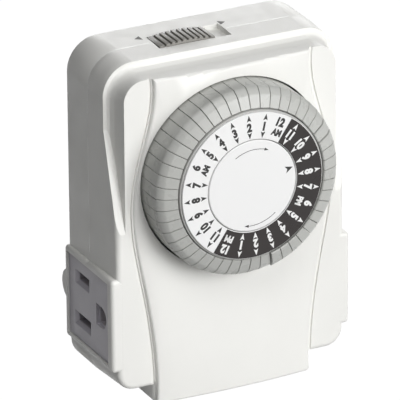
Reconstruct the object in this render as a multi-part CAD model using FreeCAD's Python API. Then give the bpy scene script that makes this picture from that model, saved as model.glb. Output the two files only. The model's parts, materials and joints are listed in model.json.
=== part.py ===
import FreeCAD, Part
import math
import os

V = FreeCAD.Vector

# Case, in millimetres. X is across, Y runs from the dial to the wall, Z is up.
# While the pieces are built, the dial axis is X = 0, Z = 0 and the printed dial is Y = 0.
HALF_WIDTH = 36.0
CASE_TOP = 35.0
SIDE_BOTTOM = -61.5
BASE_BOTTOM = -66.0
PANEL_Y = 13.0
SEAM_Y = 29.0
BACK_Y = 43.0
WALL = 2.0
SEAM_CLEAR = 0.2
FRONT_DRAFT = 0.8
TOP_RADIUS = 9.5
LOW_RADIUS = 6.0
LEAST_RADIUS = 0.5
BACK_ROUND = 1.6
BASE_ROUND = 1.0

# Shoulder round the front panel, deep at the top and running out down the sides
SHOULDER_WIDTH = 3.4
SHOULDER_DEPTH = 7.0
SHOULDER_FULL_Z = 16.0
SHOULDER_END_Z = -13.0
RIM_WIDTH = 1.5
COVE_STEPS = 4
FRONT_ROUND = 1.5

# Raised middle of the front, wide at the dial and narrow above and below it
NECK_TOP_X = 24.3
NECK_TOP_Z = 25.5
NECK_SPREAD = 1.2
WAIST_INSET = 2.55
WAIST_Z = 9.3
BELLY_MARGIN = 2.3
BELLY_Z = -4.0
HIP_X = 27.6
HIP_Z = -30.0
FOOT_LINE_X = 24.4
FOOT_LINE_Z = -53.0
GROOVE_WIDTH = 0.9
GROOVE_DEPTH = 0.5
CROWN = 2.4
CROWN_STEP = 0.5
CROWN_INSET = 0.4
CROWN_ROUND = 0.8

# Dial drum, its trippers and the well they sit in
WELL_CLEAR = 0.5
WELL_WALL = 1.4
WELL_FLOOR_T = 1.4
DRUM_RADIUS = 27.8
TAB_BAND = 5.8
DRUM_RIM_T = 1.6
DRUM_PLATE_T = 1.6
TAB_COUNT = 48
BANK_COUNT = 12
TAB_GAP = 0.22
TAB_CLEAR = 0.3
TAB_FACE_Y = 1.0
TAB_FACE_FALL = 1.2
TAB_CHAMFER = 1.8
TAB_BACK_Y = 16.8
TAB_TRAVEL = 2.6
TAB_PROUD = 0.9
PROUD_FIRST = -3
PROUD_LAST = 9
TONGUE_INSET = 2.2
TONGUE_T = 1.8
TONGUE_WIDTH = 2.0
TONGUE_STOP = 0.4
TONGUE_CLEAR = 0.25
FLANGE_T = 1.6
FLANGE_INSET = 0.2
HUB_RADIUS = 4.0
AXLE_RADIUS = 1.95
TURN_CLEAR = 0.05
LIP_T = 0.5
FACE_T = 1.2
DISC_RADIUS = 13.4
DISC_T = 0.9
DISC_GAP = 0.3

# Gear train behind the well floor
GEAR_MODULE = 0.5
PRESSURE_DEG = 20.0
DIAL_TEETH = 90
IDLER_TEETH = 50
PINION_TEETH = 12
GEAR_T = 1.8
GEAR_SPACE = 0.5
GEAR_LASH = 0.12
ADDENDUM = 0.85
DEDENDUM = 1.15
ROOT_EASE = 0.05
FLANK_POINTS = 4
MOTOR_Z = -38.0
GEAR_PLATE_T = 1.4
GEAR_PLATE_HALF = 22.0
GEAR_PLATE_TOP = 9.0
GEAR_PLATE_LOW = -58.5
ARM_HALF = 7.8
SHAFT_OPENING = 2.4
IDLER_SHAFT_RADIUS = 0.95
POST_RADIUS = 2.6
POST_X = 18.6
POST_UPPER_Z = -29.5
POST_LOWER_Z = -54.5

# Synchronous motor: a flat can with a coil wound on a bobbin round a magnet rotor
CAN_RADIUS = 14.5
CAN_DEPTH = 7.2
CAN_WALL = 0.6
LID_T = 0.8
EAR_X = 17.2
EAR_RADIUS = 2.8
ROTOR_SHAFT_RADIUS = 0.8
ROTOR_RADIUS = 6.6
ROTOR_GAP = 0.5
BOBBIN_WALL = 0.6
BOBBIN_RIM = 0.2
COIL_BUILD = 4.4
LEAD_RADIUS = 0.6
LEAD_X = 5.0
LEAD_INSET = 1.8
LEAD_CLEAR = 0.1

# Side outlets: a grounded socket face with two slots and a ground hole
OUTLET_Z = -40.5
SLOT_Y = 33.0
SLOT_PITCH = 12.7
GROUND_OFFSET = 11.9
BLOCK_HALF_Z = 14.0
BLOCK_STAND = 1.2
BLOCK_ROUND = 1.2
BLOCK_WALL = 1.5
BLOCK_FRONT = 2.5
INSERT_SINK = 0.7
INSERT_T = 3.0
INSERT_CLEAR = 0.12
FLANGE_REACH = 1.2
FLANGE_DEPTH = 1.0
HOT_SLOT = 7.0
NEUTRAL_SLOT = 8.4
SLOT_WIDTH = 2.2
SLOT_LEAD = 1.0
GROUND_HOLE = 5.2
GROUND_LEAD = 0.6
CLIP_T = 0.6
CLIP_WIDTH = 6.0
CLIP_LENGTH = 6.4
STRAP_T = 0.8
STRAP_WIDTH = 2.2
LOAD_STRAP_Y = 36.2
GROUND_STRAP_Y = 37.8
NEUTRAL_STRAP_Y = 39.4
LOAD_LEG_X = 17.4
GROUND_LEG_X = 20.2
NEUTRAL_LEG_X = 23.0
LOAD_CROSS_Z = -12.0
GROUND_CROSS_Z = -16.0
NEUTRAL_CROSS_Z = -20.0

# Plug on the back: two flat blades and a ground pin
PLUG_Z = 6.0
BOSS_HEIGHT = 6.5
BOSS_RADIUS = 15.0
BOSS_WALL = 2.2
BLADE_T = 1.5
BLADE_WIDTH = 6.3
BLADE_LENGTH = 17.5
BLADE_CHAMFER = 1.2
GROUND_PIN_RADIUS = 2.4
PIN_ROOT_RADIUS = 1.9
PIN_TIP_ROUND = 1.44
GROUND_PIN_LENGTH = 20.5
PIN_SEAT_DEPTH = 0.4
PIN_SEAT_CLEAR = 0.8
FOOT_RADIUS = 4.8
FOOT_INSET = 3.6
FOOT_WIDTH = 5.0

# Override slider on the top
KNOB_LEFT = -15.6
KNOB_LENGTH = 17.0
KNOB_WIDTH = 8.0
KNOB_ARCH = 0.9
KNOB_RIBS = 10
RIB_DEPTH = 0.5
RIB_GROOVE = 0.68
KNOB_TRAVEL = 4.6
KNOB_CLEAR = 0.3
KNOB_LIFT = 0.15
RECESS_DEPTH = 1.5
RECESS_SKIN = 1.2
STEM_LENGTH = 4.0
STEM_WIDTH = 2.4
BAR_T = 1.4

# Switch in the upper left corner behind the well
FOLLOWER_X = -20.0
FOLLOWER_WIDTH = 4.0
FOLLOWER_T = 1.5
FOLLOWER_SIDE = 0.4
NOSE_ROOM = 0.6
FOLLOWER_PIVOT_Z = 29.0
FOLLOWER_PIN_RADIUS = 0.8
NOSE_RADIUS = 1.1
EAR_GAP = 0.3
PIN_EAR_T = 2.0
LEAF_T = 0.4
LEAF_GAP = 0.4
PUSH_GAP = 0.3
KNUCKLE_WALL = 1.0
CONTACT_RADIUS = 1.6
CONTACT_T = 1.0
CONTACT_GAP = 0.3

# Fasteners
SCREW_RADIUS = 1.2
HEAD_RADIUS = 2.3
HEAD_T = 1.5
SCREW_CLEAR = 0.15
DRIVE_SLOT = 0.6
DRIVE_DEPTH = 0.75
SCREW_END_GAP = 0.5
SCREW_INSET = 7.0
SCREW_TOP_Z = 27.0
SCREW_LOW_Z = -57.5
SCREW_BOSS_WALL = 1.7
SCREW_HEAD_Y = 36.5
SCREW_BITE = 9.0
PLATE_BITE = 9.0

# EPS carries a cut past a surface, LAP sinks one shape of a piece into the next,
# and NEAR is how close an edge or face is to the place it is looked for at.
EPS = 1.0
LAP = 0.2
NEAR = 0.01
BLOCK_X = HALF_WIDTH + BLOCK_STAND
FOOT_X = HALF_WIDTH - FOOT_INSET
SCREW_X = HALF_WIDTH - SCREW_INSET
DRUM_RIM_RADIUS = DRUM_RADIUS - TAB_BAND
TONGUE_RADIUS = DRUM_RADIUS - TONGUE_INSET
WALL_PLANE_Y = BACK_Y + BOSS_HEIGHT
PIN_TIP_Y = WALL_PLANE_Y + GROUND_PIN_LENGTH
WELL_RADIUS = DRUM_RADIUS + WELL_CLEAR
BELLY_X = WELL_RADIUS + BELLY_MARGIN
FLANGE_Y = TAB_BACK_Y + TAB_TRAVEL + TAB_CLEAR
DRUM_BACK_Y = FLANGE_Y + FLANGE_T
TONGUE_TIP_Y = DRUM_BACK_Y + TONGUE_STOP
WELL_FLOOR_Y = TONGUE_TIP_Y + TAB_TRAVEL + TONGUE_STOP
FLOOR_BACK_Y = WELL_FLOOR_Y + WELL_FLOOR_T
DIAL_GEAR_Y = FLOOR_BACK_Y + GEAR_SPACE
IDLER_GEAR_Y = DIAL_GEAR_Y + GEAR_T + GEAR_SPACE
GEAR_PLATE_Y = IDLER_GEAR_Y + GEAR_T + GEAR_SPACE
MOTOR_Y = GEAR_PLATE_Y + GEAR_PLATE_T
CAN_Y = MOTOR_Y + LID_T
CAN_BACK_Y = CAN_Y + CAN_DEPTH
LEAD_Y = CAN_Y + LEAD_INSET
DIAL_TO_IDLER = GEAR_MODULE * (DIAL_TEETH + PINION_TEETH) / 2.0
IDLER_TO_MOTOR = GEAR_MODULE * (IDLER_TEETH + PINION_TEETH) / 2.0
IDLER_Z = (MOTOR_Z ** 2 + DIAL_TO_IDLER ** 2 - IDLER_TO_MOTOR ** 2) / (2.0 * MOTOR_Z)
IDLER_X = math.sqrt(DIAL_TO_IDLER ** 2 - IDLER_Z ** 2)
FACE_RADIUS = DRUM_RIM_RADIUS - LIP_T
INSERT_FACE_X = BLOCK_X - INSERT_SINK
CLIP_X = HALF_WIDTH - WALL - 2 * INSERT_CLEAR - FLANGE_DEPTH - CLIP_LENGTH
HOT_Z = OUTLET_Z + SLOT_PITCH / 2.0
NEUTRAL_Z = OUTLET_Z - SLOT_PITCH / 2.0
GROUND_Y = SLOT_Y - GROUND_OFFSET
BLADE_X = SLOT_PITCH / 2.0
GROUND_PIN_Z = PLUG_Z - GROUND_OFFSET
NOSE_Z = math.sqrt(TONGUE_RADIUS ** 2 - FOLLOWER_X ** 2)
NOSE_Y = TONGUE_TIP_Y + TAB_TRAVEL + TAB_CLEAR
FOLLOWER_Y = DIAL_GEAR_Y + GEAR_T + GEAR_SPACE
KNUCKLE_RADIUS = FOLLOWER_PIN_RADIUS + KNUCKLE_WALL
FOLLOWER_PIN_Y = FOLLOWER_Y + FOLLOWER_T / 2.0
LEAF_Y = FOLLOWER_PIN_Y + KNUCKLE_RADIUS + LEAF_GAP
KNOB_Y = SEAM_Y
SHIFT = V(0, -(PIN_TIP_Y) / 2.0, -BASE_BOTTOM)


def box(x0, x1, y0, y1, z0, z1):
    """A block between two corners, given in any order."""
    low = V(min(x0, x1), min(y0, y1), min(z0, z1))
    return Part.makeBox(abs(x1 - x0), abs(y1 - y0), abs(z1 - z0), low)


def rod(x, y0, y1, z, radius):
    """A round bar along Y."""
    return Part.makeCylinder(radius, y1 - y0, V(x, y0, z), V(0, 1, 0))


def pipe(x, y0, y1, z, outer, inner):
    """A tube along Y."""
    return rod(x, y0, y1, z, outer).cut(rod(x, y0 - EPS, y1 + EPS, z, inner))


def cross_rod(x0, x1, y, z, radius):
    """A round bar along X."""
    return Part.makeCylinder(radius, abs(x1 - x0), V(min(x0, x1), y, z), V(1, 0, 0))


def fuse(shapes):
    return shapes[0].multiFuse(shapes[1:]).removeSplitter()


def prism(points, y0, y1):
    """A prism along Y over a closed outline of X, Z points."""
    wire = Part.makePolygon([V(x, y0, z) for x, z in points + points[:1]])
    return Part.Face(wire).extrude(V(0, y1 - y0, 0))


def slab(half, low, top, low_radius, top_radius, y0, y1):
    """A slab across Y with rounded corners, larger ones at the top."""
    solid = box(-half, half, y0, y1, low, top)
    for z, radius in ((top, top_radius), (low, low_radius)):
        if radius > 0:
            edges = [e for e in solid.Edges if abs(e.CenterOfMass.z - z) < NEAR
                     and abs(abs(e.CenterOfMass.x) - half) < NEAR]
            solid = solid.makeFillet(radius, edges)
    return solid


def save(name, shape):
    shape = shape.copy()
    shape.translate(SHIFT)
    shape.exportStep("parts/" + name + ".step")


def body_slab(inset, y0, y1):
    """The case outline without its base, drawn in by an inset."""
    return slab(HALF_WIDTH - inset, SIDE_BOTTOM + inset, CASE_TOP - inset,
                max(LOW_RADIUS - inset, LEAST_RADIUS), TOP_RADIUS - inset, y0, y1)


def base_slab(inset, y0, y1):
    """The flat base between the foot lines."""
    return slab(FOOT_LINE_X - inset, BASE_BOTTOM + inset, NEUTRAL_Z, BASE_ROUND, 0, y0, y1)


def outer_slab(inset, y0, y1):
    return body_slab(inset, y0, y1).fuse(base_slab(inset, y0, y1)).removeSplitter()


def panel_curve(side, spread):
    """One side of the raised middle as a smooth curve from the top to the base."""
    points = [
        (NECK_TOP_X + NECK_SPREAD, CASE_TOP + EPS),
        (NECK_TOP_X, NECK_TOP_Z),
        (BELLY_X - WAIST_INSET, WAIST_Z),
        (BELLY_X, BELLY_Z),
        (HIP_X, HIP_Z),
        (FOOT_LINE_X, FOOT_LINE_Z),
        (FOOT_LINE_X, BASE_BOTTOM - EPS),
    ]
    curve = Part.BSplineCurve()
    curve.interpolate([V(side * (x + spread), PANEL_Y, z) for x, z in points])
    return curve


def panel_face(spread):
    """The area between the two sides of the raised middle."""
    left = panel_curve(-1, spread).toShape()
    right = panel_curve(1, spread).toShape()
    top = Part.makeLine(left.valueAt(left.FirstParameter), right.valueAt(right.FirstParameter))
    low = Part.makeLine(left.valueAt(left.LastParameter), right.valueAt(right.LastParameter))
    return Part.Face(Part.Wire(Part.__sortEdges__([left, top, right, low])))


def crown(inset, y1):
    """The raised middle with its bowed front, drawn in by an inset."""
    sag = CROWN - CROWN_STEP
    radius = (BELLY_X ** 2 + sag ** 2) / (2.0 * sag)
    low = BASE_BOTTOM + inset
    top = CASE_TOP - SHOULDER_WIDTH - inset
    bow = Part.makeCylinder(radius - inset, top - low, V(0, PANEL_Y - CROWN + radius, low), V(0, 0, 1))
    face = panel_face(-CROWN_INSET - inset)
    face.translate(V(0, -CROWN - EPS, 0))
    return face.extrude(V(0, y1 - PANEL_Y + CROWN + EPS, 0)).common(bow)


def rounded_crown():
    y1 = PANEL_Y + FRONT_ROUND + LAP
    solid = crown(0.0, y1)
    edges = [e for e in solid.Edges if e.BoundBox.YMax < PANEL_Y
             or (e.BoundBox.ZMax < BASE_BOTTOM + NEAR and e.BoundBox.YMax - e.BoundBox.YMin > CROWN_STEP
                 and abs(e.CenterOfMass.x) > NEAR)]
    return solid.makeFillet(CROWN_ROUND, edges)


def crown_hollow():
    """What is taken out behind the bowed front, up to the wall round the dial."""
    y1 = PANEL_Y + WALL
    ring = rod(0, PANEL_Y - CROWN - EPS, y1 + EPS, 0, WELL_RADIUS + WELL_WALL)
    return crown(WALL, y1 + LAP).cut(ring)


def panel_groove(side):
    """The shallow groove that outlines the raised middle on one side."""
    inner = panel_curve(side, 0.0).toShape()
    outer = panel_curve(side, GROOVE_WIDTH).toShape()
    top = Part.makeLine(inner.valueAt(inner.FirstParameter), outer.valueAt(outer.FirstParameter))
    low = Part.makeLine(inner.valueAt(inner.LastParameter), outer.valueAt(outer.LastParameter))
    face = Part.Face(Part.Wire(Part.__sortEdges__([inner, top, outer, low])))
    return face.extrude(V(0, GROOVE_DEPTH, 0))


def outline_at(inset, y):
    """The rounded outline of the case as a wire at one depth, drawn in by an inset."""
    body = body_slab(inset, y, y + EPS)
    return [f for f in body.Faces if abs(f.CenterOfMass.y - y) < NEAR][0].OuterWire


def cove():
    """The front panel's raised body, flaring to the rim in a hollow curve."""
    wires = [outline_at(SHOULDER_WIDTH, PANEL_Y - 2 * EPS)]
    for step in range(COVE_STEPS + 1):
        a = math.pi / 2.0 * step / COVE_STEPS
        inset = SHOULDER_WIDTH - (SHOULDER_WIDTH - RIM_WIDTH) * (1.0 - math.cos(a))
        wires.append(outline_at(inset, PANEL_Y + SHOULDER_DEPTH * math.sin(a)))
    return Part.makeLoft(wires, True, True)


def shoulder_cutter():
    """What is taken off round the front panel: full depth at the top, nothing lower down."""
    outline = [
        (PANEL_Y - EPS, CASE_TOP + EPS),
        (PANEL_Y + SHOULDER_DEPTH, CASE_TOP + EPS),
        (PANEL_Y + SHOULDER_DEPTH, SHOULDER_FULL_Z),
        (PANEL_Y, SHOULDER_END_Z),
        (PANEL_Y - EPS, SHOULDER_END_Z),
    ]
    wire = Part.makePolygon([V(-HALF_WIDTH - EPS, y, z) for y, z in outline + outline[:1]])
    wedge = Part.Face(wire).extrude(V(2 * (HALF_WIDTH + EPS), 0, 0))
    return wedge.cut(cove())


def block_outer(side, y0, y1):
    """The raised frame round one outlet."""
    solid = box(side * (HALF_WIDTH - WALL), side * BLOCK_X, PANEL_Y, BACK_Y,
                OUTLET_Z - BLOCK_HALF_Z, OUTLET_Z + BLOCK_HALF_Z)
    edges = [e for e in solid.Edges if abs(abs(e.CenterOfMass.x) - BLOCK_X) < NEAR
             or (abs(e.CenterOfMass.x) > HALF_WIDTH - WALL + NEAR
                 and abs(abs(e.CenterOfMass.z - OUTLET_Z) - BLOCK_HALF_Z) < NEAR)]
    solid = solid.makeFillet(BLOCK_ROUND, edges)
    return solid.common(box(-BLOCK_X - EPS, BLOCK_X + EPS, y0, y1, BASE_BOTTOM, CASE_TOP))


def block_window(side):
    """The opening in which one outlet insert sits."""
    return box(side * (HALF_WIDTH - WALL - EPS), side * (BLOCK_X + EPS),
               PANEL_Y + BLOCK_FRONT, BACK_Y - BLOCK_WALL,
               OUTLET_Z - BLOCK_HALF_Z + BLOCK_WALL, OUTLET_Z + BLOCK_HALF_Z - BLOCK_WALL)


def knob_recess():
    """The trough in the top in which the slider moves, with the slot for its stem."""
    x0 = KNOB_LEFT - KNOB_CLEAR
    x1 = KNOB_LEFT + KNOB_LENGTH + KNOB_TRAVEL + KNOB_CLEAR
    trough = box(x0, x1, KNOB_Y - KNOB_WIDTH / 2.0 - KNOB_CLEAR,
                 KNOB_Y + KNOB_WIDTH / 2.0 + KNOB_CLEAR,
                 CASE_TOP - RECESS_DEPTH, CASE_TOP + EPS)
    middle = KNOB_LEFT + KNOB_LENGTH / 2.0
    slot = box(middle - STEM_LENGTH / 2.0 - KNOB_CLEAR,
               middle + STEM_LENGTH / 2.0 + KNOB_TRAVEL + KNOB_CLEAR,
               KNOB_Y - STEM_WIDTH / 2.0 - KNOB_CLEAR, KNOB_Y + STEM_WIDTH / 2.0 + KNOB_CLEAR,
               CASE_TOP - RECESS_DEPTH - RECESS_SKIN - EPS, CASE_TOP)
    return trough.fuse(slot)


def recess_pad(y0, y1):
    """Thicker roof under the slider's trough."""
    return box(KNOB_LEFT - WALL, KNOB_LEFT + KNOB_LENGTH + KNOB_TRAVEL + WALL, y0, y1,
               CASE_TOP - RECESS_DEPTH - RECESS_SKIN, CASE_TOP - WALL + SEAM_CLEAR)


def screw_places():
    return [(side * SCREW_X, z) for side in (-1, 1) for z in (SCREW_TOP_Z, SCREW_LOW_Z)]


def post_places():
    return [(-POST_X, POST_UPPER_Z), (POST_X, POST_LOWER_Z), (-POST_X, POST_LOWER_Z)]


def pin_ear(side):
    """One of the two ears behind the panel that hold the follower's pin."""
    x0 = FOLLOWER_X + side * (FOLLOWER_WIDTH / 2.0 + EAR_GAP)
    x1 = x0 + side * PIN_EAR_T
    return box(x0, x1, PANEL_Y + WALL / 2.0 + SHOULDER_DEPTH, FOLLOWER_PIN_Y + KNUCKLE_RADIUS,
               FOLLOWER_PIVOT_Z - KNUCKLE_RADIUS,
               CASE_TOP - RECESS_DEPTH - RECESS_SKIN - SEAM_CLEAR)


def drafted_shell():
    """The front half of the case as a block whose body narrows a little towards the panel."""
    body = Part.makeLoft([outline_at(FRONT_DRAFT, PANEL_Y), outline_at(0.0, SEAM_Y)], True, True)
    return body.fuse(base_slab(0.0, PANEL_Y, SEAM_Y)).removeSplitter()


def front_cover():
    shell = drafted_shell()
    front_edges = [e for e in shell.Edges if abs(e.BoundBox.YMin - PANEL_Y) < NEAR
                   and abs(e.BoundBox.YMax - PANEL_Y) < NEAR]
    shell = shell.makeFillet(FRONT_ROUND, front_edges)
    shell = shell.cut(shoulder_cutter()).fuse(rounded_crown()).removeSplitter()
    below_shoulder = box(-BLOCK_X, BLOCK_X, PANEL_Y, SEAM_Y, BASE_BOTTOM, SHOULDER_END_Z - WALL)
    shell = shell.cut([outer_slab(SHOULDER_WIDTH + WALL, PANEL_Y + WALL, SEAM_Y),
                       outer_slab(WALL, PANEL_Y + WALL, SEAM_Y).common(below_shoulder),
                       outer_slab(WALL, PANEL_Y + SHOULDER_DEPTH + WALL, SEAM_Y + EPS),
                       crown_hollow()])
    solids = [shell]
    for side in (-1, 1):
        solids.append(block_outer(side, PANEL_Y, SEAM_Y))
    solids.append(recess_pad(KNOB_Y - KNOB_WIDTH, SEAM_Y))
    solids.append(rod(0, PANEL_Y, FLOOR_BACK_Y, 0, WELL_RADIUS + WELL_WALL))
    inner_boss = PANEL_Y + WALL / 2.0
    for x, z in screw_places():
        solids.append(rod(x, inner_boss, SEAM_Y, z, SCREW_RADIUS + SCREW_BOSS_WALL))
    for x, z in post_places():
        solids.append(rod(x, PANEL_Y - WALL / 2.0, GEAR_PLATE_Y, z, POST_RADIUS))
    for side in (-1, 1):
        solids.append(pin_ear(side))
    cover = fuse(solids)
    cuts = [rod(0, PANEL_Y - CROWN - EPS, WELL_FLOOR_Y, 0, WELL_RADIUS)]
    cuts.append(rod(0, WELL_FLOOR_Y - EPS, FLOOR_BACK_Y + EPS, 0, HUB_RADIUS + TURN_CLEAR))
    window = FOLLOWER_WIDTH / 2.0 + FOLLOWER_SIDE
    cuts.append(box(FOLLOWER_X - window, FOLLOWER_X + window, WELL_FLOOR_Y - EPS, FLOOR_BACK_Y + EPS,
                    NOSE_Z - NOSE_RADIUS - NOSE_ROOM, NOSE_Z + NOSE_RADIUS + NOSE_ROOM))
    for side in (-1, 1):
        cuts.append(block_window(side))
        cuts.append(panel_groove(side))
    cuts.append(knob_recess())
    for x, z in screw_places():
        cuts.append(rod(x, SEAM_Y - SCREW_BITE, SEAM_Y + EPS, z, SCREW_RADIUS))
    cuts.append(follower_pin())
    for x, z in post_places():
        cuts.append(rod(x, GEAR_PLATE_Y - PLATE_BITE, GEAR_PLATE_Y + EPS, z, SCREW_RADIUS))
    return cover.cut(cuts)


def plug_boss(inset, y0, y1):
    """The round boss on the back that carries the plug blades."""
    middle = (PLUG_Z + GROUND_PIN_Z) / 2.0
    return rod(0, y0, y1, middle, BOSS_RADIUS - inset)


def wall_foot(side):
    """A half round foot that steadies the case against the wall."""
    x0 = side * FOOT_X - FOOT_WIDTH / 2.0
    foot = Part.makeCylinder(FOOT_RADIUS, FOOT_WIDTH, V(x0, WALL_PLANE_Y - FOOT_RADIUS, OUTLET_Z),
                             V(1, 0, 0))
    root = box(x0, x0 + FOOT_WIDTH, BACK_Y - WALL / 2.0, WALL_PLANE_Y - FOOT_RADIUS,
               OUTLET_Z - FOOT_RADIUS, OUTLET_Z + FOOT_RADIUS)
    keep = box(x0, x0 + FOOT_WIDTH, BACK_Y - WALL / 2.0, WALL_PLANE_Y, BASE_BOTTOM, CASE_TOP)
    return foot.fuse(root).common(keep).removeSplitter()


def plug_holes():
    """Tight openings for the blades and the ground pin in the end of the boss."""
    y0, y1 = BACK_Y - WALL - EPS, WALL_PLANE_Y + EPS
    holes = [rod(0, y0, y1, GROUND_PIN_Z, PIN_ROOT_RADIUS),
             rod(0, WALL_PLANE_Y - PIN_SEAT_DEPTH, y1, GROUND_PIN_Z,
                 GROUND_PIN_RADIUS + PIN_SEAT_CLEAR)]
    for side in (-1, 1):
        x = side * BLADE_X
        holes.append(box(x - BLADE_T / 2.0, x + BLADE_T / 2.0, y0, y1,
                         PLUG_Z - BLADE_WIDTH / 2.0, PLUG_Z + BLADE_WIDTH / 2.0))
    return holes


def back_cover():
    shell = outer_slab(0.0, SEAM_Y, BACK_Y)
    back_edges = [e for e in shell.Edges if abs(e.BoundBox.YMin - BACK_Y) < NEAR
                  and abs(e.BoundBox.YMax - BACK_Y) < NEAR]
    shell = shell.makeFillet(BACK_ROUND, back_edges)
    shell = shell.cut(outer_slab(WALL, SEAM_Y - EPS, BACK_Y - WALL))
    solids = [shell, plug_boss(0.0, BACK_Y - WALL, WALL_PLANE_Y)]
    solids.append(recess_pad(SEAM_Y, KNOB_Y + KNOB_WIDTH))
    for side in (-1, 1):
        solids.append(block_outer(side, SEAM_Y, BACK_Y))
        solids.append(wall_foot(side))
    for x, z in screw_places():
        solids.append(rod(x, SEAM_Y, BACK_Y - WALL / 2.0, z, HEAD_RADIUS + SCREW_BOSS_WALL))
    cover = fuse(solids)
    cuts = [plug_boss(BOSS_WALL, BACK_Y - WALL - EPS, WALL_PLANE_Y - BOSS_WALL)]
    cuts.extend(plug_holes())
    for side in (-1, 1):
        cuts.append(block_window(side))
    cuts.append(knob_recess())
    for x, z in screw_places():
        cuts.append(rod(x, SEAM_Y - EPS, BACK_Y + EPS, z, SCREW_RADIUS + SCREW_CLEAR))
        cuts.append(rod(x, SCREW_HEAD_Y, BACK_Y + EPS, z, HEAD_RADIUS + SCREW_CLEAR))
    return cover.cut(cuts)


def funnel(side, z, length):
    """One blade slot with a sloping lead-in, cut from the outside face inward."""
    x_face = side * INSERT_FACE_X
    x_deep = side * (INSERT_FACE_X - SLOT_LEAD)
    x_back = side * (INSERT_FACE_X - INSERT_T - EPS)

    def loop(x, grow):
        y0, y1 = SLOT_Y - length / 2.0 - grow, SLOT_Y + length / 2.0 + grow
        z0, z1 = z - SLOT_WIDTH / 2.0 - grow, z + SLOT_WIDTH / 2.0 + grow
        corners = [(y0, z0), (y1, z0), (y1, z1), (y0, z1), (y0, z0)]
        return Part.makePolygon([V(x, y, zz) for y, zz in corners])

    lead = Part.makeLoft([loop(x_face, SLOT_LEAD), loop(x_deep, 0.0)], True, True)
    hole = Part.makeLoft([loop(x_deep, 0.0), loop(x_back, 0.0)], True, True)
    return lead.fuse(hole)


def ground_cut(side):
    """The D shaped ground hole, round towards the dial, with its lead-in."""
    radius = GROUND_HOLE / 2.0
    x0 = side * (INSERT_FACE_X + EPS)
    x1 = side * (INSERT_FACE_X - INSERT_T - EPS)
    hole = cross_rod(x0, x1, GROUND_Y, OUTLET_Z, radius)
    square = box(x0, x1, GROUND_Y, GROUND_Y + radius, OUTLET_Z - radius, OUTLET_Z + radius)
    lead_x = side * (INSERT_FACE_X - SLOT_LEAD)
    wide = radius + GROUND_LEAD
    lead = cross_rod(x0, lead_x, GROUND_Y, OUTLET_Z, wide)
    lead_square = box(x0, lead_x, GROUND_Y, GROUND_Y + wide, OUTLET_Z - wide, OUTLET_Z + wide)
    return fuse([hole, square, lead, lead_square])


def outlet_insert(side):
    gap = BLOCK_WALL + INSERT_CLEAR
    y0, y1 = PANEL_Y + BLOCK_FRONT + INSERT_CLEAR, BACK_Y - gap
    z0, z1 = OUTLET_Z - BLOCK_HALF_Z + gap, OUTLET_Z + BLOCK_HALF_Z - gap
    face = box(side * (INSERT_FACE_X - INSERT_T), side * INSERT_FACE_X, y0, y1, z0, z1)
    seat = HALF_WIDTH - WALL - INSERT_CLEAR
    flange = box(side * (seat - FLANGE_DEPTH), side * seat,
                 y0 + FLANGE_REACH, y1 - FLANGE_REACH / 2.0, z0 - FLANGE_REACH, z1 + FLANGE_REACH)
    solid = face.fuse(flange).removeSplitter()
    return solid.cut([funnel(side, HOT_Z, HOT_SLOT), funnel(side, NEUTRAL_Z, NEUTRAL_SLOT),
                      ground_cut(side)])


def proud_by(index):
    """How far a tab stands out of the ring: one run of them is pulled out a little."""
    place = index if index < TAB_COUNT // 2 else index - TAB_COUNT
    if PROUD_FIRST <= place <= PROUD_LAST:
        return TAB_PROUD
    return TAB_PROUD / 2.0 if place == PROUD_FIRST - 1 else 0.0


def tripper(index):
    """One tab: a sloping face, a chamfered outer edge, a skirt and a tongue behind."""
    pitch = 360.0 / TAB_COUNT
    r0 = DRUM_RIM_RADIUS + TAB_CLEAR
    r1 = DRUM_RADIUS - TAB_CHAMFER
    slope_y = TAB_FACE_Y + TAB_FACE_FALL
    profile = [(r0, TAB_FACE_Y), (r1, slope_y), (DRUM_RADIUS, slope_y + TAB_CHAMFER),
               (DRUM_RADIUS, TAB_BACK_Y), (r0, TAB_BACK_Y)]
    wire = Part.makePolygon([V(r, y, 0) for r, y in profile + profile[:1]])
    turn = pitch - math.degrees(TAB_GAP / DRUM_RADIUS)
    body = Part.Face(wire).revolve(V(0, 0, 0), V(0, 1, 0), turn)
    body.rotate(V(0, 0, 0), V(0, 1, 0), -turn / 2.0)
    tongue = box(TONGUE_RADIUS - TONGUE_T / 2.0, TONGUE_RADIUS + TONGUE_T / 2.0,
                 TAB_BACK_Y - EPS, TONGUE_TIP_Y, -TONGUE_WIDTH / 2.0, TONGUE_WIDTH / 2.0)
    tab = body.fuse(tongue).removeSplitter()
    tab.rotate(V(0, 0, 0), V(0, 1, 0), (index + 0.5) * pitch)
    tab.translate(V(0, -proud_by(index), 0))
    return tab


def tripper_bank(number):
    per_bank = TAB_COUNT // BANK_COUNT
    return Part.makeCompound([tripper(number * per_bank + i) for i in range(per_bank)])


def tongue_slot(index):
    reach = TONGUE_T / 2.0 + TONGUE_CLEAR
    half = TONGUE_WIDTH / 2.0 + TONGUE_CLEAR
    slot = box(TONGUE_RADIUS - reach, TONGUE_RADIUS + reach, FLANGE_Y - EPS, DRUM_BACK_Y + EPS,
               -half, half)
    slot.rotate(V(0, 0, 0), V(0, 1, 0), (index + 0.5) * 360.0 / TAB_COUNT)
    return slot


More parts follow.
